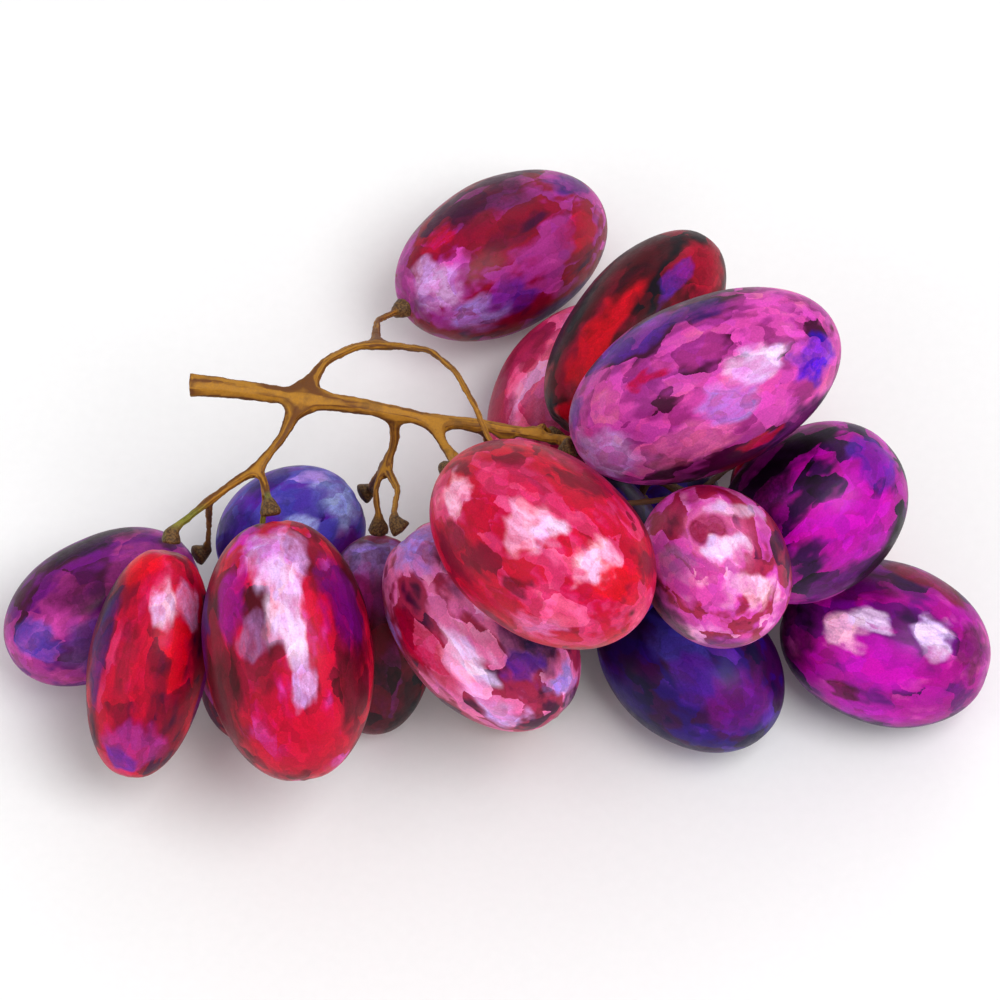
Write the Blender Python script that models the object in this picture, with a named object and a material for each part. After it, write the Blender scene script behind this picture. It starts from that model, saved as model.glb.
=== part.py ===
"""A small bunch of oval red table grapes lying on a level surface.

One branching stem, grown in one piece, and twenty-two berries.  Each berry is
a turned ovoid with a shallow dimple where the stem meets it.  The bunch rests
on its lowest berries; the main stalk runs along +X above them.
All lengths in the tables below are millimetres, all angles degrees.
"""
import math

import bpy
import numpy as np

MM = 0.001                    # metres in a millimetre

# ---- berry shape -----------------------------------------------------------
SEGMENTS = 16                 # facets around a berry
RING_ANGLES = (9, 20, 36, 54, 72, 90, 110, 132, 156)
FULLNESS = 0.95               # below 1 makes the shoulders fuller than an ellipse
DIMPLE_DEPTH = 0.5            # hollow under the receptacle
DIMPLE_RADIUS = 1.6

# ---- stem shape ------------------------------------------------------------
SKIN_GROWTH = 1.22            # rounding a four-sided skin shrinks it by this much
KNOB_RADIUS = 1.05            # receptacle that carries a berry
KNOB_FACE = 0.15              # thickness of the receptacle's rim
KNOB_LENGTH = 0.7
NECK_LENGTH = 1.5             # where the receptacle has thinned to a twig
TWIG_RADIUS = 0.5
STEM_DETAIL = 0.42            # share of the rounded skin's facets that are kept

# ---- surface ---------------------------------------------------------------
BERRY_ROUGHNESS = 0.35
STEM_ROUGHNESS = 0.6
STEM_COLOUR = (0.30, 0.27, 0.06)

# Berries: centre x, y, z, length, width, heading and pitch of the stem end.
BERRIES = {
    "berry_01": (0.0, 56.5, 8.5, 26.0, 16.0, 220, 15),     # far end of the arch
    "berry_02": (13.5, 39.5, 21.0, 25.5, 13.5, 233, -9),
    "berry_03": (20.0, 24.5, 36.0, 30.0, 17.4, 190, -31),  # top of the pile
    "berry_04": (6.5, 41.0, 7.0, 21.0, 13.8, 237, -5),
    "berry_05": (31.0, 17.0, 24.0, 20.5, 16.8, 210, -30),
    "berry_06": (38.5, 11.0, 8.5, 22.0, 16.8, 160, 0),     # right end
    "berry_07": (21.0, 6.0, 33.0, 18.5, 14.8, 112, -18),
    "berry_08": (19.0, 9.0, 8.0, 21.5, 16.0, 136, 0),
    "berry_09": (4.0, 4.5, 40.0, 27.0, 18.0, 132, -14),    # highest in front
    "berry_10": (-2.0, 5.5, 22.0, 24.0, 16.4, 134, 23),
    "berry_11": (-12.5, 11.0, 10.5, 22.0, 12.4, 87, 55),
    "berry_12": (-21.0, 2.5, 22.5, 26.5, 17.2, 98, 25),
    "berry_13": (-35.0, 5.0, 15.5, 24.0, 12.2, 77, 37),
    "berry_14": (-40.0, 15.8, 7.5, 22.0, 14.4, 34, -4),    # left end
    "berry_15": (-21.0, 23.0, 9.5, 16.0, 13.8, 31, 5),
    "berry_16": (1.5, 23.0, 8.8, 17.0, 13.2, 90, 70),      # lower layer from here
    "berry_17": (10.0, 15.5, 20.5, 17.5, 13.0, 110, 0),
    "berry_18": (24.0, 41.5, 8.4, 19.0, 14.6, 230, 40),
    "berry_19": (30.5, 27.5, 8.7, 18.0, 14.0, 180, 60),
    "berry_20": (15.5, 27.0, 8.3, 17.0, 14.0, 250, 60),
    "berry_21": (-24.5, 8.0, 6.1, 13.0, 11.6, 95, 30),
    "berry_22": (1.7, 9.3, 6.4, 13.0, 11.6, 90, 60),
}

# Berry colours, ripest and darkest first.
MAROON = (0.16, 0.01, 0.05)
CRIMSON = (0.42, 0.02, 0.08)
MAGENTA = (0.36, 0.02, 0.28)
PLUM = (0.18, 0.03, 0.20)
INDIGO = (0.10, 0.05, 0.28)
ROSE = (0.50, 0.14, 0.26)
COLOURS = {
    "berry_01": PLUM, "berry_02": CRIMSON, "berry_03": PLUM, "berry_04": ROSE,
    "berry_05": MAGENTA, "berry_06": MAGENTA, "berry_07": CRIMSON, "berry_08": INDIGO,
    "berry_09": CRIMSON, "berry_10": ROSE, "berry_11": MAROON, "berry_12": MAGENTA,
    "berry_13": CRIMSON, "berry_14": PLUM, "berry_15": INDIGO, "berry_16": PLUM,
    "berry_17": MAROON, "berry_18": INDIGO, "berry_19": PLUM, "berry_20": INDIGO,
    "berry_21": MAROON, "berry_22": PLUM,
}

# Stem joints: x, y, z and radius.  The main stalk, its side branches, the arch.
JOINTS = {
    "cut_face": (-31.2, 28.2, 30.2, 1.25),
    "cut_rim": (-31.0, 28.2, 30.2, 1.35),
    "stalk_1": (-29.0, 28.2, 30.0, 1.15),
    "stalk_2": (-25.5, 28.0, 29.5, 1.05),
    "stalk_3": (-20.0, 27.5, 29.0, 1.10),
    "stalk_4": (-15.5, 27.0, 28.5, 1.00),
    "stalk_5": (-10.5, 26.5, 28.0, 0.95),
    "stalk_6": (-7.0, 26.0, 27.0, 0.90),
    "stalk_7": (-2.5, 26.0, 26.3, 0.85),
    "stalk_8": (0.5, 25.8, 25.5, 0.85),
    "stalk_9": (3.5, 25.5, 25.0, 0.80),
    "stalk_10": (7.0, 25.3, 24.0, 0.80),
    "stalk_11": (10.5, 25.0, 22.5, 0.75),
    "stalk_12": (15.0, 23.5, 21.0, 0.70),
    "stalk_13": (19.0, 21.0, 20.0, 0.70),
    "stalk_14": (21.0, 18.5, 19.5, 0.65),
    "left_1": (-21.5, 24.0, 27.5, 0.65),
    "left_fork": (-24.0, 21.0, 26.5, 0.70),
    "left_2": (-29.0, 18.0, 25.0, 0.60),
    "left_3": (-31.0, 16.5, 24.0, 0.55),
    "left_4": (-29.3, 21.5, 13.5, 0.45),
    "left_5": (-23.2, 18.5, 26.5, 0.55),
    "left_6": (-23.0, 16.5, 28.0, 0.55),
    "left_7": (-24.0, 15.8, 20.0, 0.45),
    "left_8": (-25.0, 16.3, 13.5, 0.45),
    "middle_1": (-10.5, 25.0, 24.5, 0.60),
    "middle_fork": (-11.5, 23.5, 22.0, 0.70),
    "middle_2": (-13.0, 25.5, 15.0, 0.50),
    "middle_3": (-12.5, 21.0, 22.0, 0.50),
    "middle_4": (-10.2, 19.5, 24.5, 0.50),
    "inner_fork": (-5.0, 21.5, 27.5, 0.60),
    "inner_1": (-4.5, 18.0, 31.5, 0.50),
    "inner_2": (-1.0, 20.5, 27.0, 0.50),
    "inner_3": (0.5, 19.0, 22.0, 0.50),
    "inner_4": (2.0, 15.5, 14.5, 0.45),
    "arch_1": (-17.5, 32.0, 28.5, 0.60),
    "arch_2": (-14.5, 35.5, 25.5, 0.60),
    "arch_top": (-12.5, 36.5, 24.0, 0.75),
    "arch_3": (-12.5, 43.0, 18.0, 0.50),
    "arch_4": (-10.0, 35.5, 25.5, 0.55),
    "arch_5": (-7.0, 33.5, 28.0, 0.50),
    "arch_6": (-4.5, 30.0, 30.0, 0.50),
    "arch_7": (-2.5, 25.5, 30.5, 0.50),
    "arch_8": (-1.0, 22.0, 29.5, 0.50),
    "arch_9": (5.0, 17.5, 29.0, 0.50),
    "arch_10": (12.5, 15.5, 28.5, 0.50),
    "back_1": (4.3, 28.5, 21.8, 0.50),
    "back_2": (-1.5, 29.0, 19.0, 0.50),
    "back_3": (-1.2, 30.5, 11.0, 0.45),
    "low_1": (9.0, 26.0, 18.5, 0.50),
    "low_2": (8.5, 23.0, 13.5, 0.45),
    "low_3": (18.0, 31.0, 17.5, 0.45),
    "low_4": (22.5, 24.5, 19.5, 0.45),
    "low_5": (22.5, 19.0, 15.0, 0.50),
    "low_6": (21.5, 15.5, 18.2, 0.50),
}

# Runs of joints, each continued to a berry where the last name is a berry.
RUNS = [
    ("cut_face", "cut_rim", "stalk_1", "stalk_2", "stalk_3", "stalk_4", "stalk_5",
     "stalk_6", "stalk_7", "stalk_8", "stalk_9", "stalk_10", "stalk_11", "stalk_12",
     "stalk_13", "stalk_14"),
    ("stalk_3", "left_1", "left_fork", "left_2", "left_3", "berry_13"),
    ("left_2", "left_4", "berry_14"),
    ("left_fork", "left_5", "left_6", "berry_12"),
    ("left_5", "left_7", "left_8", "berry_21"),
    ("stalk_5", "middle_1", "middle_fork", "middle_2", "berry_15"),
    ("middle_fork", "middle_3", "berry_11"),
    ("middle_fork", "middle_4", "berry_10"),
    ("stalk_6", "inner_fork", "inner_1", "berry_09"),
    ("inner_fork", "inner_2", "inner_3", "inner_4", "berry_22"),
    ("stalk_3", "arch_1", "arch_2", "arch_top", "arch_3", "berry_01"),
    ("arch_top", "arch_4", "arch_5", "arch_6", "arch_7", "arch_8", "arch_9",
     "arch_10", "berry_07"),
    ("stalk_7", "back_2", "back_3", "berry_04"),
    ("stalk_8", "berry_16"),
    ("stalk_9", "back_1", "berry_02"),
    ("stalk_10", "berry_03"),
    ("stalk_10", "berry_17"),
    ("stalk_11", "low_1", "low_2", "berry_08"),
    ("stalk_12", "berry_20"),
    ("stalk_12", "low_3", "berry_18"),
    ("stalk_13", "low_4", "berry_19"),
    ("stalk_14", "low_5", "berry_06"),
    ("stalk_14", "low_6", "berry_05"),
]


def clear_scene():
    for item in list(bpy.data.objects):
        bpy.data.objects.remove(item, do_unlink=True)


def axes_of(heading, pitch):
    """Unit vectors of a berry: along its length to the stem end, and two across."""
    h = math.radians(heading)
    p = math.radians(pitch)
    along = np.array((math.cos(p) * math.cos(h), math.cos(p) * math.sin(h), math.sin(p)))
    side = np.array((-math.sin(h), math.cos(h), 0.0))
    return along, side, np.cross(along, side)


def finish(item, colour, roughness):
    """Smooth shading and the piece's own plain material."""
    for face in item.data.polygons:
        face.use_smooth = True
    material = bpy.data.materials.new(item.name + "_surface")
    material.use_nodes = True
    shader = material.node_tree.nodes["Principled BSDF"]
    shader.inputs["Base Color"].default_value = (*colour, 1.0)
    shader.inputs["Roughness"].default_value = roughness
    shader.inputs["Metallic"].default_value = 0.0
    item.data.materials.append(material)


def add_mesh(name, points, edges, faces):
    mesh = bpy.data.meshes.new(name)
    mesh.from_pydata([tuple(p) for p in points], edges, faces)
    mesh.update()
    item = bpy.data.objects.new(name, mesh)
    bpy.context.collection.objects.link(item)
    return item


def berry_points(x, y, z, length, width, heading, pitch):
    """Both poles and the rings between them, stem end first."""
    centre = np.array((x, y, z))
    along, side, across = axes_of(heading, pitch)
    points = [centre + along * (length / 2 - DIMPLE_DEPTH)]
    for angle in RING_ANGLES:
        t = math.radians(angle)
        radius = width / 2 * math.sin(t) ** FULLNESS
        height = length / 2 * math.cos(t)
        if angle < 90:
            height -= DIMPLE_DEPTH * math.exp(-(radius / DIMPLE_RADIUS) ** 2)
        for k in range(SEGMENTS):
            turn = 2 * math.pi * k / SEGMENTS
            out = math.cos(turn) * side + math.sin(turn) * across
            points.append(centre + along * height + out * radius)
    points.append(centre - along * length / 2)
    return points


def berry_faces():
    faces = []
    rings = len(RING_ANGLES)
    last = 1 + rings * SEGMENTS
    for k in range(SEGMENTS):
        n = (k + 1) % SEGMENTS
        faces.append((0, 1 + k, 1 + n))
        for r in range(rings - 1):
            a = 1 + r * SEGMENTS
            b = a + SEGMENTS
            faces.append((a + k, b + k, b + n, a + n))
        a = 1 + (rings - 1) * SEGMENTS
        faces.append((a + k, last, a + n))
    return faces


def stem_tip(name):
    """Points and radii of the twig end and receptacle that carry one berry."""
    x, y, z, length, width, heading, pitch = BERRIES[name]
    along = axes_of(heading, pitch)[0]
    foot = np.array((x, y, z)) + along * length / 2
    return [
        (foot + along * NECK_LENGTH, TWIG_RADIUS),
        (foot + along * KNOB_LENGTH, KNOB_RADIUS * 0.9),
        (foot + along * KNOB_FACE, KNOB_RADIUS),
        (foot, KNOB_RADIUS * 0.85),
    ]


def stem_skeleton():
    names = list(JOINTS)
    points = [np.array(JOINTS[n][:3]) for n in names]
    radii = [JOINTS[n][3] for n in names]
    edges = []
    for run in RUNS:
        here = names.index(run[0])
        for name in run[1:]:
            if name in JOINTS:
                edges.append((here, names.index(name)))
                here = names.index(name)
                continue
            for point, radius in stem_tip(name):
                points.append(point)
                radii.append(radius)
                edges.append((here, len(points) - 1))
                here = len(points) - 1
    return points, radii, edges


def add_stem(offset):
    points, radii, edges = stem_skeleton()
    item = add_mesh("stem", [(p - offset) * MM for p in points], edges, [])
    skin = item.modifiers.new("skin", "SKIN")
    skin.branch_smoothing = 0.5
    skin.use_smooth_shade = True
    layer = item.data.skin_vertices[0].data
    for entry, radius in zip(layer, radii):
        entry.radius = (radius * SKIN_GROWTH * MM,) * 2
    layer[0].use_root = True
    rounded = item.modifiers.new("rounded", "SUBSURF")
    rounded.levels = 1
    rounded.render_levels = 1
    lighter = item.modifiers.new("lighter", "DECIMATE")
    lighter.ratio = STEM_DETAIL
    finish(item, STEM_COLOUR, STEM_ROUGHNESS)


def build():
    clear_scene()
    shapes = {name: berry_points(*row) for name, row in BERRIES.items()}
    everything = np.array([p for points in shapes.values() for p in points])
    low = everything.min(axis=0)
    high = everything.max(axis=0)
    offset = np.array(((low[0] + high[0]) / 2, (low[1] + high[1]) / 2, low[2]))
    faces = berry_faces()
    for name, points in shapes.items():
        item = add_mesh(name, [(p - offset) * MM for p in points], [], faces)
        finish(item, COLOURS[name], BERRY_ROUGHNESS)
    add_stem(offset)


build()
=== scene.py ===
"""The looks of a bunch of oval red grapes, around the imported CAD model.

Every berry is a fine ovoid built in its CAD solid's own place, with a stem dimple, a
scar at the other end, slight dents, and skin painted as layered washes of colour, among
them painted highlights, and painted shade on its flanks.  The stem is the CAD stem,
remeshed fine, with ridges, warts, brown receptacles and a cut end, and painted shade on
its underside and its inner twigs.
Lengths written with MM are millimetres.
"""
import math

import bpy
import numpy as np
from mathutils import Matrix, Vector, noise


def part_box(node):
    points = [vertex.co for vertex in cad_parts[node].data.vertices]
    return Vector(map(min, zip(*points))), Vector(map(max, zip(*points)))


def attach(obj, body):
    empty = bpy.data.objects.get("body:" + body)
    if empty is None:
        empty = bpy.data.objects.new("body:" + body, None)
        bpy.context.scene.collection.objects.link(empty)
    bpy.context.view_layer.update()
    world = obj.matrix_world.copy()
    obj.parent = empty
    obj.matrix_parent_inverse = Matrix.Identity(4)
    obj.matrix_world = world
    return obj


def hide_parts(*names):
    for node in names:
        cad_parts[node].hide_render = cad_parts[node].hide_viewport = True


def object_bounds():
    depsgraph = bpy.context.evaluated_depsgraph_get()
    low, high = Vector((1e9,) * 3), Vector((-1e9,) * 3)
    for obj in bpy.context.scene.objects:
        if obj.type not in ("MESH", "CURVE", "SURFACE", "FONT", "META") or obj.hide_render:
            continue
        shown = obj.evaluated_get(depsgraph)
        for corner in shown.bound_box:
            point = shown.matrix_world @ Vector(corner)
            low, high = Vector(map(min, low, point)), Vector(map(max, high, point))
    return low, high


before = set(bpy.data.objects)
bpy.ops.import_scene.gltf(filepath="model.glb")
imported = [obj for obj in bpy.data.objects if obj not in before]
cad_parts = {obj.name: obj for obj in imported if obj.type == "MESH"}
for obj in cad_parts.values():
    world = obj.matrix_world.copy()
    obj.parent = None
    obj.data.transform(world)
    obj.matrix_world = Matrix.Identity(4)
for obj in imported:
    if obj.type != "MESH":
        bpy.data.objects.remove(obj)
cad_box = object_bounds()

MM = 0.001

# ---- view ------------------------------------------------------------------
VIEW_ELEVATION = 60           # degrees above the table
LENS = 350                    # millimetres, long, so that near berries don't swell
SENSOR = 36
FRAME_WIDTH = 0.100           # metres of the object's plane that the picture spans
AIM = (cad_box[0] + cad_box[1]) / 2 + Vector((0.4, -7.4, -4.7)) * MM
TOWARDS_CAMERA = Vector((0.0, -math.cos(math.radians(VIEW_ELEVATION)),
                         math.sin(math.radians(VIEW_ELEVATION))))

# ---- berry shape -----------------------------------------------------------
RINGS = 64
SEGMENTS = 80
FULLNESS = 0.95
DIMPLE_DEPTH = 0.55
DIMPLE_RADIUS = 1.5
SCAR_DEPTH = 0.25
SCAR_RADIUS = 0.55
DENT_DEPTH = 0.32             # slow unevenness of the skin
DENT_SCALE = 0.16             # per millimetre

# ---- stem shape ------------------------------------------------------------
STEM_VOXEL = 0.2
STEM_RIDGE = 0.08
STEM_SLIM = 0.22              # how much thinner the fresh wood is than its CAD solid
CUT_TILT = 12                 # degrees that the cut face leans

# ---- colours, as they would be mixed on a palette, 0 to 255 -----------------
PAINTS = {
    "black": (22, 4, 24), "navy": (30, 14, 66), "indigo": (52, 22, 112), "blue": (36, 26, 190),
    "violet": (98, 46, 158), "purple": (112, 22, 120), "purple_dark": (62, 8, 74),
    "plum": (76, 8, 58), "maroon": (84, 2, 28), "wine": (134, 8, 50), "crimson": (186, 14, 58),
    "scarlet": (218, 16, 42), "rose": (200, 62, 106), "rose_dark": (158, 50, 84),
    "pink": (214, 116, 164), "mauve": (158, 58, 134), "magenta": (162, 14, 142),
    "fuchsia": (196, 20, 182), "grey_mauve": (152, 112, 152), "blue_haze": (84, 76, 168),
    "lavender": (170, 140, 212), "lavender_dark": (120, 84, 152), "lilac": (204, 164, 216),
    # the two whitest paints, last on the next line, are the colours of painted highlights
    "sky": (164, 178, 226), "painted_highlight": (228, 206, 238), "painted_highlight_pink": (242, 190, 214),
    "orchid": (200, 84, 168), "coral": (232, 110, 150), "blush": (240, 170, 210),
}

# Each berry's own ground colours, from its darkest to its lightest patches.
GROUNDS = {
    "berry_01": ("plum", "wine", "mauve", "orchid"),
    "berry_02": ("black", "maroon", "wine", "crimson"),
    "berry_03": ("plum", "mauve", "orchid", "pink"),
    "berry_04": ("rose_dark", "rose", "coral", "blush"),
    "berry_05": ("black", "purple_dark", "magenta", "fuchsia"),
    "berry_06": ("purple_dark", "purple", "magenta", "orchid"),
    "berry_07": ("plum", "rose_dark", "orchid", "blush"),
    "berry_08": ("navy", "purple_dark", "indigo", "violet"),
    "berry_09": ("wine", "crimson", "rose", "coral"),
    "berry_10": ("plum", "rose_dark", "pink", "blush"),
    "berry_11": ("black", "maroon", "wine", "mauve"),
    "berry_12": ("maroon", "wine", "crimson", "orchid"),
    "berry_13": ("plum", "wine", "crimson", "rose"),
    "berry_14": ("plum", "purple", "mauve", "orchid"),
    "berry_15": ("indigo", "violet", "blue_haze", "lavender"),
}
HIDDEN_GROUNDS = (("plum", "wine", "mauve", "orchid"), ("maroon", "wine", "crimson", "rose"),
                  ("navy", "purple_dark", "indigo", "violet"))
TONES = (0.34, 0.49, 0.62, 0.84)      # where along the tone scale those four colours sit

# Washes, listed in order of painting: colour, place along the berry (1 at the
# stem end, -1 at the far end), turn about its axis in degrees (0 faces up and front, and
# 90 is to the right when the stem end points up), half length and half width.
# The washes in the two whitest paints, and some lilac, lavender and sky ones, are painted
# highlights.
WASHES = {
    "berry_01": [
        ("plum", 0.2, 45, 6, 2.4), ("wine", 0.4, 20, 3.5, 2),
        ("crimson", 0.7, 50, 2, 1.4), ("crimson", -0.4, -15, 3.5, 1.4),
        ("indigo", -0.7, 30, 2.4, 1.4), ("indigo", -0.2, -75, 4, 1.6),
        ("violet", 0.4, -40, 2.4, 2), ("mauve", 0, -10, 4, 1.4),
        ("lavender", 0.7, -50, 3, 2), ("lilac", 0.9, 10, 2.4, 2.2),
    ],
    "berry_02": [
        ("black", 0.4, 70, 6, 1.8), ("maroon", -0.4, 50, 6, 2.2),
        ("scarlet", 0.4, 25, 7, 1.6), ("scarlet", 0.9, 0, 2.4, 1.6),
        ("crimson", -0.7, -20, 3, 2.5), ("violet", -0.5, 0, 3.5, 0.8),
        ("black", -0.2, 35, 3, 0.9),
    ],
    "berry_03": [
        ("violet", 0.3, 60, 6, 1.6), ("indigo", -0.3, 60, 4, 1.2),
        ("violet", 0.85, 30, 2, 1.4), ("lilac", 0.7, -20, 4, 2.4),
        ("pink", 0.1, -35, 4.5, 2), ("painted_highlight", -0.6, 0, 3.2, 1.5),
        ("lavender", -0.3, -20, 2, 1.8), ("navy", -0.5, -80, 6, 2.2),
        ("blue", -0.9, -30, 2.6, 2), ("wine", 0, -80, 3.5, 1.2),
        ("crimson", 0.1, 20, 2.2, 0.8), ("crimson", -0.3, -60, 2.4, 0.9),
    ],
    "berry_04": [
        ("rose_dark", 0, 60, 3, 2), ("pink", 0.4, 0, 3, 2), ("rose_dark", 0.7, 45, 2, 1.2),
    ],
    "berry_05": [
        ("black", 0.2, 40, 4, 3.5), ("black", -0.5, 60, 3.5, 2),
        ("fuchsia", -0.4, -30, 4, 3.5), ("purple_dark", 0.5, -10, 2.5, 2),
        ("purple", 0.3, -60, 4.5, 1.6), ("violet", -0.9, 0, 1.6, 2.4),
    ],
    "berry_06": [
        ("black", 0.8, -20, 2.6, 3), ("plum", 0.3, 40, 3.5, 2),
        ("wine", -0.3, 70, 5, 1.8), ("fuchsia", -0.1, -20, 4, 2.5),
        ("fuchsia", 0, -60, 4.5, 1.8), ("painted_highlight_pink", 0.3, 0, 2, 1.4),
        ("painted_highlight", 0.1, 10, 1.6, 1), ("painted_highlight", -0.5, 15, 1.6, 1.8),
        ("maroon", 0.2, -45, 1.8, 0.8), ("plum", -0.85, 30, 1.4, 2.6),
    ],
    "berry_07": [
        ("black", 0.1, -65, 4.5, 2.4), ("black", -0.4, -90, 3, 2),
        ("wine", 0.5, 30, 2, 3), ("wine", 0, 90, 4, 1.5),
        ("pink", -0.3, 15, 3.4, 3), ("painted_highlight", 0, 40, 1, 2.4),
        ("wine", -0.2, 10, 1.5, 1.4), ("grey_mauve", -0.3, -30, 2, 1.4),
        ("painted_highlight", -0.5, 15, 1.1, 1.8), ("painted_highlight_pink", -0.85, 30, 1, 2.4),
    ],
    "berry_08": [
        ("navy", 0.5, -20, 3, 3), ("black", 0.5, 20, 2.5, 2),
        ("blue_haze", 0, 10, 3, 2.2), ("indigo", 0.2, -60, 3, 2),
        ("violet", -0.4, -10, 2.5, 2.2), ("purple", -0.8, 0, 3, 3),
    ],
    "berry_09": [
        ("wine", 0.1, 70, 6, 1.8), ("maroon", -0.4, 95, 3, 1.4),
        ("rose", 0.1, 20, 4, 2.4), ("crimson", -0.1, -60, 4, 2),
        ("wine", 0.3, -35, 2, 1.6), ("maroon", -0.4, -35, 1.4, 0.9),
        ("scarlet", -0.9, 20, 1.3, 2), ("pink", -0.6, -60, 3.6, 1.4),
        ("painted_highlight_pink", 0.5, -10, 2.2, 1.6), ("painted_highlight_pink", -0.2, 0, 2, 2),
        ("painted_highlight", -0.4, 5, 1.3, 1.4), ("painted_highlight_pink", -0.75, 20, 1.3, 2),
    ],
    "berry_10": [
        ("lavender", 0.85, 0, 2.8, 2.4), ("lavender", 0.5, -75, 2.4, 1.2),
        ("crimson", 0.2, -50, 5.5, 1.6), ("purple_dark", 0, 30, 6, 2.2),
        ("navy", 0.4, 20, 3.4, 2), ("navy", -0.3, 25, 4.4, 2.4),
        ("violet", -0.5, 5, 2, 1.6), ("painted_highlight", -0.2, -20, 3.6, 1.1),
        ("lilac", -0.7, -45, 3.2, 1.6), ("lavender", -0.8, 35, 1.3, 2),
        ("navy", -0.95, 60, 1.5, 1.6),
    ],
    "berry_11": [
        ("lavender", 0.9, -20, 2, 2.6), ("mauve", 0.6, 0, 2.4, 2.6),
        ("maroon", 0.2, 10, 3, 3), ("black", -0.5, 0, 5, 4),
    ],
    "berry_12": [
        ("magenta", 0.4, -40, 3.5, 1.8), ("fuchsia", 0.85, -40, 1.8, 1.4),
        ("indigo", 0.3, -80, 5, 1.3), ("purple", 0.3, 50, 5, 2.2),
        ("maroon", -0.4, -60, 4.6, 2.6), ("crimson", -0.75, 0, 2.8, 4),
        ("maroon", -0.4, 55, 4.2, 2), ("wine", -0.3, -25, 3, 1.8),
        ("lilac", 0.7, 0, 3, 2.6), ("painted_highlight", 0.4, 0, 4.6, 1.8),
        ("painted_highlight", 0, 5, 3, 1.3), ("lilac", -0.3, 10, 2.6, 1),
        ("grey_mauve", 0.1, -20, 1.8, 1.2), ("crimson", -0.5, -20, 2, 1.8),
    ],
    "berry_13": [
        ("scarlet", 0.85, -45, 2.4, 1.8), ("scarlet", 0.8, 80, 1.8, 1.2),
        ("indigo", 0.1, -55, 6.5, 1.2), ("purple", -0.1, 85, 4.5, 1.1),
        ("scarlet", 0.2, 30, 3, 1.3), ("crimson", -0.2, 0, 3.5, 1),
        ("wine", 0.1, -20, 4, 0.8), ("mauve", -0.65, 0, 2, 3),
        ("violet", -0.8, -20, 1.6, 1.2), ("painted_highlight", 0.6, 10, 3, 1),
        ("lilac", 0.6, 40, 2.2, 1),
    ],
    "berry_14": [
        ("black", 0.2, -65, 6, 1.4), ("plum", -0.3, -20, 3, 2.2),
        ("mauve", 0.4, -20, 4, 1.6), ("lavender_dark", -0.4, 30, 4, 2.4),
        ("blue_haze", -0.85, 0, 1.8, 1.8), ("navy", 0, 85, 3.5, 1),
    ],
    "berry_15": [
        ("sky", 0.7, -10, 2.6, 2.4), ("purple", 0.5, 40, 1.8, 1.6),
        ("indigo", -0.7, -40, 2.4, 2.4), ("indigo", 0.1, -60, 2.6, 1.2),
        ("blue_haze", 0.2, -20, 2.2, 1.8), ("sky", 0, 0, 1.4, 1.4),
    ],
}
# Pale washes: those in the two whitest paints, and some lilac, lavender and sky ones, are painted
# highlights.
PALE = ("painted_highlight", "painted_highlight_pink", "lilac", "lavender", "sky", "pink", "grey_mauve")
LOOSE_WASHES = ("violet", "wine", "indigo", "lavender", "crimson", "plum", "mauve", "purple")


def srgb_to_linear(value):
    v = value / 255
    return v / 12.92 if v <= 0.04045 else ((v + 0.055) / 1.055) ** 2.4


def rgb(red, green, blue):
    return tuple(srgb_to_linear(c) for c in (red, green, blue)) + (1.0,)


def paint(name):
    return rgb(*PAINTS[name])


# ---- node helpers ----------------------------------------------------------

class Graph:
    """A small wrapper that adds nodes to a tree and links plain values or sockets."""

    def __init__(self, tree):
        self.tree = tree

    def add(self, kind, inputs=None, **settings):
        node = self.tree.nodes.new(kind)
        for key, value in settings.items():
            setattr(node, key, value)
        for key, value in (inputs or {}).items():
            self.put(node.inputs[key], value)
        return node

    def put(self, socket, value):
        if isinstance(value, bpy.types.NodeSocket):
            self.tree.links.new(value, socket)
        else:
            socket.default_value = value

    def math(self, operation, a, b=0.0, clamp=False):
        node = self.add("ShaderNodeMath", operation=operation, use_clamp=clamp)
        self.put(node.inputs[0], a)
        self.put(node.inputs[1], b)
        return node.outputs[0]

    def vector(self, operation, a, b=(0.0, 0.0, 0.0)):
        node = self.add("ShaderNodeVectorMath", operation=operation)
        self.put(node.inputs[0], a)
        self.put(node.inputs[1], b)
        return node.outputs["Value" if operation == "LENGTH" else "Vector"]

    def mix(self, factor, a, b, blend="MIX"):
        node = self.add("ShaderNodeMix", data_type="RGBA", blend_type=blend, clamp_factor=True)
        self.put(node.inputs["Factor"], factor)
        self.put(node.inputs[6], a)
        self.put(node.inputs[7], b)
        return node.outputs[2]

    def spread(self, value, low, high, to_low=0.0, to_high=1.0, kind="SMOOTHSTEP"):
        node = self.add("ShaderNodeMapRange", interpolation_type=kind)
        names = ("Value", "From Min", "From Max", "To Min", "To Max")
        for key, item in zip(names, (value, low, high, to_low, to_high)):
            self.put(node.inputs[key], item)
        return node.outputs["Result"]

    def noise(self, where, scale, detail=2.0, rough=0.5, colour=False):
        node = self.add("ShaderNodeTexNoise", {"Vector": where, "Scale": scale,
                                               "Detail": detail, "Roughness": rough})
        return node.outputs["Color" if colour else "Fac"]


def new_material(name):
    material = bpy.data.materials.new(name)
    material.use_nodes = True
    tree = material.node_tree
    for node in list(tree.nodes):
        tree.nodes.remove(node)
    graph = Graph(tree)
    shader = graph.add("ShaderNodeBsdfPrincipled")
    out = graph.add("ShaderNodeOutputMaterial")
    tree.links.new(shader.outputs["BSDF"], out.inputs["Surface"])
    return material, graph, shader


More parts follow.
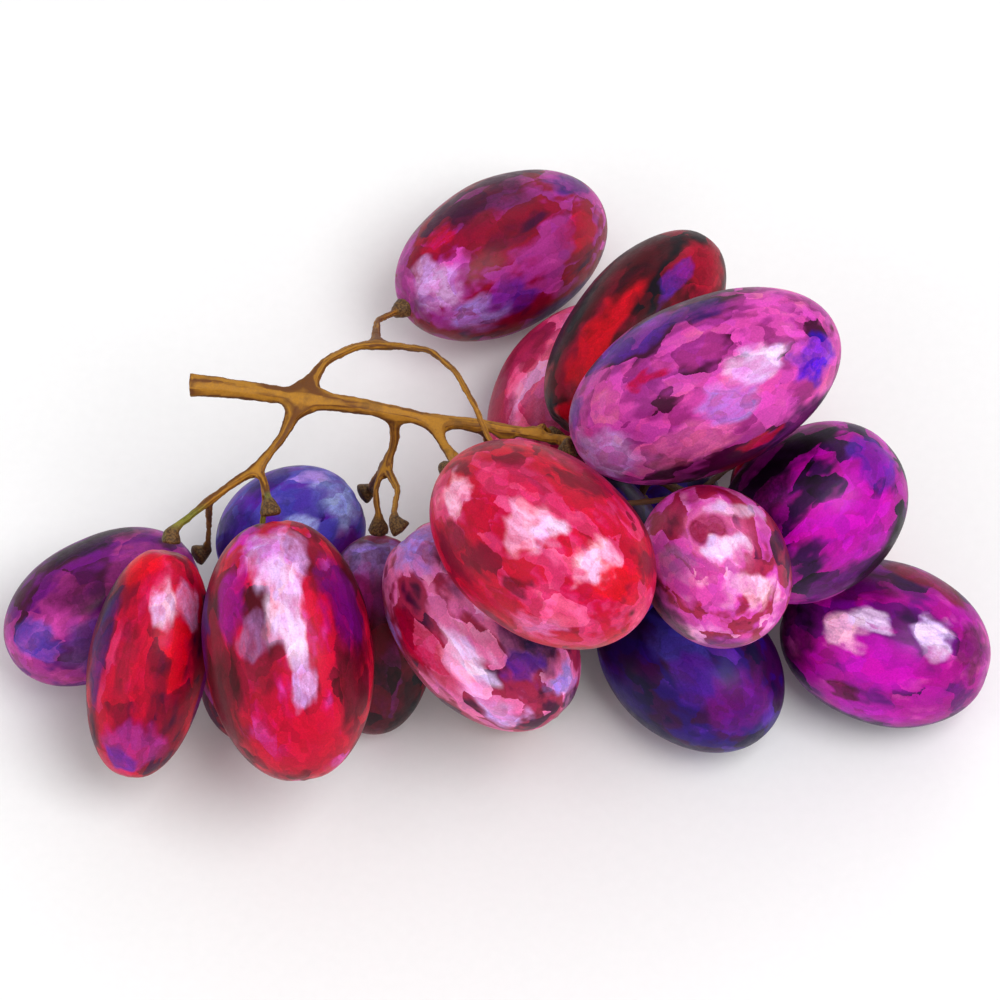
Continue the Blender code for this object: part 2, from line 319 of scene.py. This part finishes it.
def wash_group():
    """One wash of colour: an oval patch with a ragged edge and a darker tide line."""
    group = bpy.data.node_groups.new("wash", "ShaderNodeTree")
    sockets = (("Under", "NodeSocketColor"), ("Paint", "NodeSocketColor"),
               ("Where", "NodeSocketVector"), ("Centre", "NodeSocketVector"),
               ("Grow", "NodeSocketVector"), ("Softness", "NodeSocketFloat"),
               ("Strength", "NodeSocketFloat"), ("Grain", "NodeSocketFloat"))
    for name, kind in sockets:
        group.interface.new_socket(name, in_out="INPUT", socket_type=kind)
    group.interface.new_socket("Colour", in_out="OUTPUT", socket_type="NodeSocketColor")
    g = Graph(group)
    inside = g.add("NodeGroupInput").outputs
    off = g.vector("SUBTRACT", inside["Where"], inside["Centre"])
    reach = g.vector("LENGTH", g.vector("MULTIPLY", off, inside["Grow"]))
    low = g.math("SUBTRACT", 1.0, inside["Softness"])
    high = g.math("ADD", 1.0, inside["Softness"])
    cover = g.spread(reach, low, high, 1.0, 0.0)
    cover = g.math("MULTIPLY", cover, inside["Strength"])
    cover = g.math("MULTIPLY", cover, inside["Grain"], clamp=True)
    laid = g.mix(cover, inside["Under"], inside["Paint"])
    rim = g.spread(g.math("ABSOLUTE", g.math("SUBTRACT", reach, low)), 0.0, TIDE_WIDTH,
                   TIDE_STRENGTH, 0.0)
    rim = g.math("MULTIPLY", rim, inside["Strength"])
    darker = g.mix(rim, laid, inside["Paint"], blend="MULTIPLY")
    out = g.add("NodeGroupOutput")
    g.put(out.inputs["Colour"], darker)
    return group


TIDE_WIDTH = 0.10
TIDE_STRENGTH = 0.20
DEPTH_OF_COLOUR = 1.18        # over 1, deeper shades between the light patches
RICHNESS = 1.02
LIGHTNESS = 1.26
WIDEN = 1.15                  # how far a wash runs past its own size
# painted shade: the skin's ground darkens towards each berry's two flanks, the sides seen edge-on
# from the front
FLANK_SHADE = 0.15            # how much darker the skin's ground is on a berry's two flanks
WASH = wash_group()


# ---- berries ---------------------------------------------------------------

def berry_frame(node, stem_points):
    """A berry's centre, half length, half width and axes; the last axis ends at the stem."""
    points = np.array([v.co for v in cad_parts[node].data.vertices])
    low, high = points.min(axis=0), points.max(axis=0)
    middle = points.mean(axis=0)
    _, _, axes = np.linalg.svd(points - middle, full_matrices=False)
    axis = axes[0]
    reach = (points - middle) @ axis
    centre = middle + axis * (reach.max() + reach.min()) / 2
    half_length = (reach.max() - reach.min()) / 2
    away = points - centre
    across = away - np.outer(away @ axis, axis)
    half_width = np.linalg.norm(across, axis=1).max()
    ends = [np.linalg.norm(stem_points - (centre + s * axis * half_length), axis=1).min()
            for s in (1, -1)]
    if ends[1] < ends[0]:
        axis = -axis
    facing = Vector(TOWARDS_CAMERA) - Vector(axis) * Vector(axis).dot(TOWARDS_CAMERA)
    facing.normalize()
    side = Vector(axis).cross(facing)
    return Vector(centre), half_length, half_width, (facing, side, Vector(axis))


def berry_mesh(name, centre, half_length, half_width, axes, seed):
    """The skin in world coordinates: rings of points from the stem end to the far end.

    The attribute "spot" keeps each point's place in the berry's own axes, in millimetres.
    """
    a, b = half_length / MM, half_width / MM
    shift = Vector((seed * 17.3, seed * 5.1, seed * 9.7))
    points = []
    for r in range(1, RINGS):
        t = math.pi * r / RINGS
        t += 0.18 * math.sin(2 * t)
        ring = b * math.sin(t) ** FULLNESS
        for k in range(SEGMENTS):
            turn = 2 * math.pi * k / SEGMENTS
            spot = Vector((ring * math.cos(turn), ring * math.sin(turn), a * math.cos(t)))
            dent = 0.5 + 0.5 * noise.noise(spot * DENT_SCALE + shift)
            wide = 1 - DENT_DEPTH * dent / b
            spot.x *= wide
            spot.y *= wide
            if t < math.pi / 2:
                pucker = 0.35 * math.cos(7 * turn + seed) * math.exp(-((ring - 2.0) / 0.9) ** 2)
                spot.z -= DIMPLE_DEPTH * math.exp(-(ring / DIMPLE_RADIUS) ** 2)
                spot.z += 0.12 * pucker
            else:
                nub = math.exp(-(ring / SCAR_RADIUS) ** 2)
                spot.z += SCAR_DEPTH * math.exp(-(ring / (2.2 * SCAR_RADIUS)) ** 2) - 0.2 * nub
            points.append(spot)
    points.append(Vector((0, 0, a - DIMPLE_DEPTH)))
    points.append(Vector((0, 0, -a + SCAR_DEPTH - 0.2)))
    tip, tail = len(points) - 2, len(points) - 1
    faces = []
    last = RINGS - 2
    for k in range(SEGMENTS):
        n = (k + 1) % SEGMENTS
        faces.append((tip, k, n))
        for r in range(last):
            at = r * SEGMENTS
            faces.append((at + k, at + SEGMENTS + k, at + SEGMENTS + n, at + n))
        at = last * SEGMENTS
        faces.append((at + k, tail, at + n))
    mesh = bpy.data.meshes.new(name)
    turn = Matrix([axis[:] for axis in axes]).transposed()
    mesh.from_pydata([tuple(centre + turn @ p * MM) for p in points], [], faces)
    layer = mesh.attributes.new("spot", "FLOAT_VECTOR", "POINT")
    layer.data.foreach_set("vector", np.array([tuple(p) for p in points], np.float32).ravel())
    mesh.update()
    for face in mesh.polygons:
        face.use_smooth = True
    return mesh


def unit_spot(along, turn):
    flat = math.sqrt(max(0.0, 1 - along * along))
    turn = math.radians(turn)
    return flat * math.cos(turn), flat * math.sin(turn), along


def loose_washes(node, rng):
    """Washes for skin that the named ones don't reach: the back, or a whole hidden berry."""
    rows = []
    whole = node not in WASHES
    for _ in range(8 if whole else 5):
        turn = rng.uniform(-180, 180) if whole else rng.uniform(115, 245)
        name = LOOSE_WASHES[rng.integers(len(LOOSE_WASHES))]
        rows.append((name, rng.uniform(-0.8, 0.8), turn, rng.uniform(2, 5), rng.uniform(1, 2.4)))
    return rows


def skin_material(node, half_length, half_width, seed):
    a, b = half_length / MM, half_width / MM
    material, g, shader = new_material(node + "_skin")
    place = g.add("ShaderNodeAttribute", attribute_name="spot").outputs["Vector"]
    mm = g.vector("ADD", place, (seed * 31.0, seed * 13.0, seed * 7.0))
    unit = g.vector("MULTIPLY", place, (1 / b, 1 / b, 1 / a))

    # ragged edges: a slow bend, and a quick fray
    drawn = g.vector("MULTIPLY", mm, (1.0, 1.0, 0.5))
    bend = g.vector("SUBTRACT", g.noise(drawn, 0.28, 2.0, 0.5, True), (0.5, 0.5, 0.5))
    fray = g.vector("SUBTRACT", g.noise(mm, 1.6, 3.0, 0.6, True), (0.5, 0.5, 0.5))
    curl = g.vector("SUBTRACT", g.noise(drawn, 0.60, 1.0, 0.5, True), (0.5, 0.5, 0.5))
    where = g.vector("ADD", unit, g.vector("MULTIPLY", bend, (0.35, 0.35, 0.25)))
    where = g.vector("ADD", where, g.vector("MULTIPLY", curl, (0.36, 0.36, 0.30)))
    where = g.vector("ADD", where, g.vector("MULTIPLY", fray, (0.045, 0.045, 0.04)))
    grain = g.spread(g.noise(mm, 2.4, 4.0, 0.65), 0.25, 0.75, 0.78, 1.12, "LINEAR")

    along = g.vector("MULTIPLY", mm, (1.0, 1.0, 0.3))
    streak = g.spread(g.noise(along, 1.3, 3.0, 0.6), 0.32, 0.62, 0.55, 1.12, "LINEAR")

    # ground: patches that run along the berry
    bent = g.vector("ADD", mm, g.vector("MULTIPLY", fray, (0.5, 0.5, 0.5)))
    bent = g.vector("ADD", bent, g.vector("MULTIPLY", curl, (1.4, 1.4, 1.4)))
    bent = g.vector("ADD", bent, g.vector("MULTIPLY", bend, (3.0, 3.0, 3.0)))
    dabs = g.add("ShaderNodeTexVoronoi", {"Vector": g.vector("MULTIPLY", bent, (1.0, 1.0, 0.5)),
                                          "Scale": 0.42})
    dab_split = g.add("ShaderNodeSeparateColor", {"Color": dabs.outputs["Color"]})
    dab_tone = dab_split.outputs[0]
    slow = g.noise(g.vector("MULTIPLY", mm, (1.0, 1.0, 0.45)), 0.24, 3.0, 0.6)
    broken = g.spread(dab_split.outputs[1], 0.0, 1.0, 0.50, 1.15, "LINEAR")
    streak = g.math("MULTIPLY", streak, broken)
    grain = g.math("MULTIPLY", grain, g.spread(dab_split.outputs[2], 0.0, 1.0, 0.75, 1.1, "LINEAR"))
    tone = g.math("ADD", g.math("MULTIPLY", dab_tone, 0.30), g.math("MULTIPLY", slow, 0.85))
    # painted shade: the ground darkens towards the berry's two flanks
    split = g.add("ShaderNodeSeparateXYZ", {"Vector": where})
    painted_flank_shade = g.spread(g.math("ABSOLUTE", split.outputs[1]), 0.45, 0.95, 0.0, FLANK_SHADE)
    tone = g.math("SUBTRACT", tone, painted_flank_shade)
    names = GROUNDS.get(node, HIDDEN_GROUNDS[seed % len(HIDDEN_GROUNDS)])
    skins = [paint(name) for name in names]
    colour = skins[0]
    for k in range(3):
        step = g.spread(tone, TONES[k] + 0.02, TONES[k + 1] - 0.02)
        colour = g.mix(step, colour, skins[k + 1])

    rng = np.random.default_rng(seed)
    # some of these washes, the palest, are painted highlights
    for name, along, turn, long, wide in WASHES.get(node, []) + loose_washes(node, rng):
        pale = name in PALE
        wash = g.add("ShaderNodeGroup", node_tree=WASH)
        grow = (b / (wide * WIDEN), b / (wide * WIDEN), a / (long * WIDEN))
        values = {"Under": colour, "Paint": paint(name), "Where": where,
                  "Centre": unit_spot(along, turn), "Grow": grow,
                  "Softness": 0.34 if pale else 0.26,
                  "Strength": 0.92 if pale else 0.76, "Grain": streak if pale else grain}
        for key, value in values.items():
            g.put(wash.inputs[key], value)
        colour = wash.outputs["Colour"]

    # small dabs over everything, then pigment that settles in the skin's grain
    spots = g.add("ShaderNodeTexVoronoi", {"Vector": g.vector("MULTIPLY", bent, (1.0, 1.0, 0.7)),
                                           "Scale": 0.85})
    spot = g.add("ShaderNodeSeparateColor", {"Color": spots.outputs["Color"]})
    lift = g.spread(spot.outputs[0], 0.0, 1.0, 0.84, 1.14, "LINEAR")
    cool = g.spread(spot.outputs[1], 0.0, 1.0, 0.90, 1.12, "LINEAR")
    tint = g.add("ShaderNodeCombineColor", {"Red": lift, "Green": g.math("MULTIPLY", lift, 0.97),
                                            "Blue": g.math("MULTIPLY", lift, cool)})
    colour = g.mix(1.0, colour, tint.outputs[0], blend="MULTIPLY")
    speck = g.noise(mm, 5.5, 3.0, 0.7)
    speck = g.spread(speck, 0.3, 0.7, 0.84, 1.12, "LINEAR")
    speck = g.add("ShaderNodeCombineColor", {"Red": speck, "Green": speck, "Blue": speck})
    colour = g.mix(1.0, colour, speck.outputs[0], blend="MULTIPLY")

    # the scar at the far end and the corky ring under the stem
    height = g.add("ShaderNodeSeparateXYZ", {"Vector": unit}).outputs[2]
    scar = g.spread(height, -1.0 + 0.004, -1.0 + 0.012, 0.85, 0.0)
    ring = g.spread(height, 0.972, 0.990, 0.0, 0.55)
    colour = g.mix(scar, colour, paint("maroon"))
    colour = g.mix(ring, colour, paint("lavender_dark"))

    deep = g.add("ShaderNodeGamma", {"Color": colour, "Gamma": DEPTH_OF_COLOUR})
    rich = g.add("ShaderNodeHueSaturation", {"Color": deep.outputs["Color"],
                                             "Saturation": RICHNESS, "Value": LIGHTNESS})
    g.put(shader.inputs["Base Color"], rich.outputs["Color"])
    rough = g.spread(g.noise(mm, 0.9, 3.0, 0.6), 0.3, 0.7, 0.34, 0.52, "LINEAR")
    g.put(shader.inputs["Roughness"], rough)
    bump = g.add("ShaderNodeBump", {"Height": g.noise(mm, 3.2, 4.0, 0.65), "Strength": 0.35,
                                    "Distance": 0.06 * MM})
    g.put(shader.inputs["Normal"], bump.outputs["Normal"])
    shader.inputs["Specular IOR Level"].default_value = 0.13
    shader.inputs["Coat Weight"].default_value = 0.07
    shader.inputs["Coat Roughness"].default_value = 0.18
    return material


def add_berry(node, stem_points, seed):
    centre, half_length, half_width, axes = berry_frame(node, stem_points)
    name = node + "_fine"
    mesh = berry_mesh(name, centre, half_length, half_width, axes, seed)
    piece = bpy.data.objects.new(name, mesh)
    bpy.context.scene.collection.objects.link(piece)
    piece.data.materials.append(skin_material(node, half_length, half_width, seed))
    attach(piece, "root")
    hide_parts(node)
    return centre + axes[2] * half_length


# ---- stem ------------------------------------------------------------------

def stem_material():
    material, g, shader = new_material("stem_bark")
    place = g.add("ShaderNodeTexCoord").outputs["Object"]
    mm = g.vector("MULTIPLY", place, (1 / MM,) * 3)
    knob = g.add("ShaderNodeAttribute", attribute_name="knob").outputs["Fac"]
    arch = g.add("ShaderNodeAttribute", attribute_name="arch").outputs["Fac"]
    cut = g.add("ShaderNodeAttribute", attribute_name="cut").outputs["Fac"]
    underside_shade = g.add("ShaderNodeAttribute", attribute_name="underside_shade").outputs["Fac"]
    inner_twig_shade = g.add("ShaderNodeAttribute", attribute_name="inner_twig_shade").outputs["Fac"]
    slow = g.noise(mm, 0.35, 3.0, 0.6)
    grooves = g.add("ShaderNodeAttribute", attribute_name="grooves").outputs["Vector"]
    strokes = g.noise(grooves, 1.0, 2.0, 0.5)
    fine = g.noise(mm, 4.5, 3.0, 0.6)
    olive = g.mix(g.spread(strokes, 0.36, 0.58), rgb(66, 60, 12), rgb(134, 132, 40))
    olive = g.mix(g.spread(slow, 0.45, 0.7, 0.0, 0.6), olive, rgb(152, 144, 56))
    ochre = g.mix(g.spread(strokes, 0.38, 0.62), rgb(104, 58, 12), rgb(172, 118, 28))
    colour = g.mix(arch, olive, ochre)
    brown_spots = g.math("MULTIPLY", g.spread(slow, 0.56, 0.70), 0.45)
    colour = g.mix(brown_spots, colour, rgb(92, 58, 22))
    # painted shade on the underside of the wood
    colour = g.mix(g.math("MULTIPLY", underside_shade, 0.6), colour, rgb(58, 48, 14))
    # painted shade on the inner twigs, deep among the berries
    colour = g.mix(g.math("MULTIPLY", inner_twig_shade, 0.85), colour, rgb(58, 30, 24))
    knob_tone = g.mix(g.spread(fine, 0.35, 0.65), rgb(62, 38, 16), rgb(116, 84, 44))
    colour = g.mix(knob, colour, knob_tone)
    cut_tone = g.mix(g.spread(fine, 0.4, 0.6), rgb(70, 52, 24), rgb(120, 104, 58))
    colour = g.mix(cut, colour, cut_tone)
    speck = g.spread(fine, 0.3, 0.7, 0.86, 1.12, "LINEAR")
    speck = g.add("ShaderNodeCombineColor", {"Red": speck, "Green": speck, "Blue": speck})
    colour = g.mix(1.0, colour, speck.outputs[0], blend="MULTIPLY")
    g.put(shader.inputs["Base Color"], colour)
    g.put(shader.inputs["Roughness"], g.spread(fine, 0.3, 0.7, 0.55, 0.75, "LINEAR"))
    bump = g.add("ShaderNodeBump", {"Height": g.noise(mm, 3.0, 4.0, 0.6), "Strength": 0.5,
                                    "Distance": 0.12 * MM})
    g.put(shader.inputs["Normal"], bump.outputs["Normal"])
    shader.inputs["Specular IOR Level"].default_value = 0.35
    return material


def fade(distance, near, far):
    """1 closer than near, 0 beyond far, smooth between."""
    t = np.clip((far - distance) / (far - near), 0, 1)
    return t * t * (3 - 2 * t)


def side_branch_share(points):
    """1 where the wood stands behind the main stalk or arches over it, 0 elsewhere."""
    start = points[points[:, 0] < points[:, 0].min() + MM].mean(axis=0)
    off = (points - start) / MM
    behind = 1 - fade(off[:, 1], 1.8, 3.0)
    over = (1 - fade(off[:, 0], 20, 23)) * (1 - fade(off[:, 2], -2.2, -1.2))
    return np.maximum(behind, over)


def add_stem(feet):
    """The CAD stem, remeshed fine, smoothed, ridged, and cut off flat at its thick end."""
    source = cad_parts["stem"]
    piece = bpy.data.objects.new("stem_fine", source.data.copy())
    bpy.context.scene.collection.objects.link(piece)
    piece.data.materials.clear()
    for kind, values in (("REMESH", {"mode": "VOXEL", "voxel_size": STEM_VOXEL * MM}),
                         ("SMOOTH", {"factor": 0.5, "iterations": 4})):
        modifier = piece.modifiers.new(kind.lower(), kind)
        for key, value in values.items():
            setattr(modifier, key, value)
    bpy.context.view_layer.update()
    evaluated = piece.evaluated_get(bpy.context.evaluated_depsgraph_get())
    mesh = bpy.data.meshes.new_from_object(evaluated)
    piece.modifiers.clear()
    piece.data = mesh
    mesh.name = "stem_fine"

    points = np.array([v.co for v in mesh.vertices])
    normals = np.array([v.normal for v in mesh.vertices])
    lift = np.array([noise.noise(Vector(p / MM) * 0.9) + 0.6 * noise.noise(Vector(p / MM) * 2.3)
                     for p in points])
    feet = np.array([tuple(f) for f in feet])
    to_foot = np.linalg.norm(points[:, None, :] - feet[None], axis=2).min(axis=1)
    knob = fade(to_foot, 1.9 * MM, 2.8 * MM)
    slim = STEM_SLIM * (1 - knob)
    points = points + normals * ((STEM_RIDGE * lift - slim) * MM)[:, None]
    lean = math.radians(CUT_TILT)
    face = np.array((-math.cos(lean), 0.0, math.sin(lean)))
    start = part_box("stem")[0].x + 0.35 * MM
    end_z = points[points[:, 0] < start + 2 * MM][:, 2].mean()
    over = (points - np.array((start, 0.0, end_z))) @ face
    near_end = points[:, 0] < start + 2 * MM
    trim = np.where(near_end & (over > 0), over, 0)
    points = points - trim[:, None] * face
    mesh.vertices.foreach_set("co", points.astype(np.float32).ravel())
    mesh.update()

    stores = {
        "knob": knob,
        # painted shade: the twigs beyond about 12 mm, among the berries, are darkened
        "inner_twig_shade": 1 - fade(points[:, 0], 9.0 * MM, 12.0 * MM),
        "arch": side_branch_share(points),
        "cut": np.where(near_end, fade(-over, 0.05 * MM, 0.35 * MM), 0.0),
        # painted shade: stronger where the wood faces down and back
        "underside_shade": np.clip(-normals[:, 2] * 1.2 + 0.1 - normals[:, 1] * 0.3, 0, 1),
    }
    for name, values in stores.items():
        layer = mesh.attributes.new(name, "FLOAT", "POINT")
        layer.data.foreach_set("value", values.astype(np.float32))
    grooves = mesh.attributes.new("grooves", "FLOAT_VECTOR", "POINT")
    turn_and_run = normals * 1.7 + points / MM * 0.16
    grooves.data.foreach_set("vector", turn_and_run.astype(np.float32).ravel())
    for polygon in mesh.polygons:
        polygon.use_smooth = True
    mesh.materials.append(stem_material())
    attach(piece, "root")
    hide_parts("stem")


# ---- floor, light and camera -------------------------------------------------

def add_floor():
    bpy.ops.mesh.primitive_plane_add(size=6.0, location=(0, 0, 0))
    floor = bpy.context.object
    floor.name = "studio_floor"
    material, g, shader = new_material("studio_paper")
    place = g.add("ShaderNodeTexCoord").outputs["Object"]
    tooth = g.noise(place, 900.0, 3.0, 0.6)
    g.put(shader.inputs["Base Color"], g.mix(tooth, (0.90, 0.90, 0.90, 1), (0.94, 0.94, 0.94, 1)))
    g.put(shader.inputs["Roughness"], g.spread(tooth, 0.3, 0.7, 0.8, 0.95, "LINEAR"))
    floor.data.materials.append(material)


def add_light(name, direction, distance, size, power):
    lamp = bpy.data.lights.new(name, "AREA")
    lamp.shape = "SQUARE"
    lamp.size = size
    lamp.energy = power
    item = bpy.data.objects.new(name, lamp)
    bpy.context.scene.collection.objects.link(item)
    item.location = Vector(direction).normalized() * distance
    item.rotation_euler = Vector(direction).to_track_quat("Z", "Y").to_euler()


def add_lights():
    world = bpy.data.worlds.new("studio")
    bpy.context.scene.world = world
    world.use_nodes = True
    background = world.node_tree.nodes["Background"]
    background.inputs["Color"].default_value = (1.0, 1.0, 1.0, 1.0)
    background.inputs["Strength"].default_value = 0.58
    add_light("key", (0.40, -0.35, 1.0), 0.9, 0.50, 4.8)
    add_light("fill", (-0.9, -0.6, 0.7), 1.0, 0.6, 1.2)
    add_light("back", (0.2, 0.9, 0.6), 1.0, 0.6, 1.0)


def add_camera():
    camera = bpy.data.cameras.new("view")
    camera.lens = LENS
    camera.sensor_width = SENSOR
    camera.clip_start = 0.01
    item = bpy.data.objects.new("view", camera)
    bpy.context.scene.collection.objects.link(item)
    distance = FRAME_WIDTH * LENS / SENSOR
    item.location = AIM + TOWARDS_CAMERA * distance
    item.rotation_euler = TOWARDS_CAMERA.to_track_quat("Z", "Y").to_euler()
    bpy.context.scene.camera = item
    bpy.context.scene.view_settings.view_transform = "Standard"


STEM_POINTS = np.array([v.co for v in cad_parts["stem"].data.vertices])
BERRIES = sorted(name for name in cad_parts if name.startswith("berry_"))

add_camera()
add_lights()
add_floor()
FEET = [add_berry(node, STEM_POINTS, index + 1) for index, node in enumerate(BERRIES)]
add_stem(FEET)
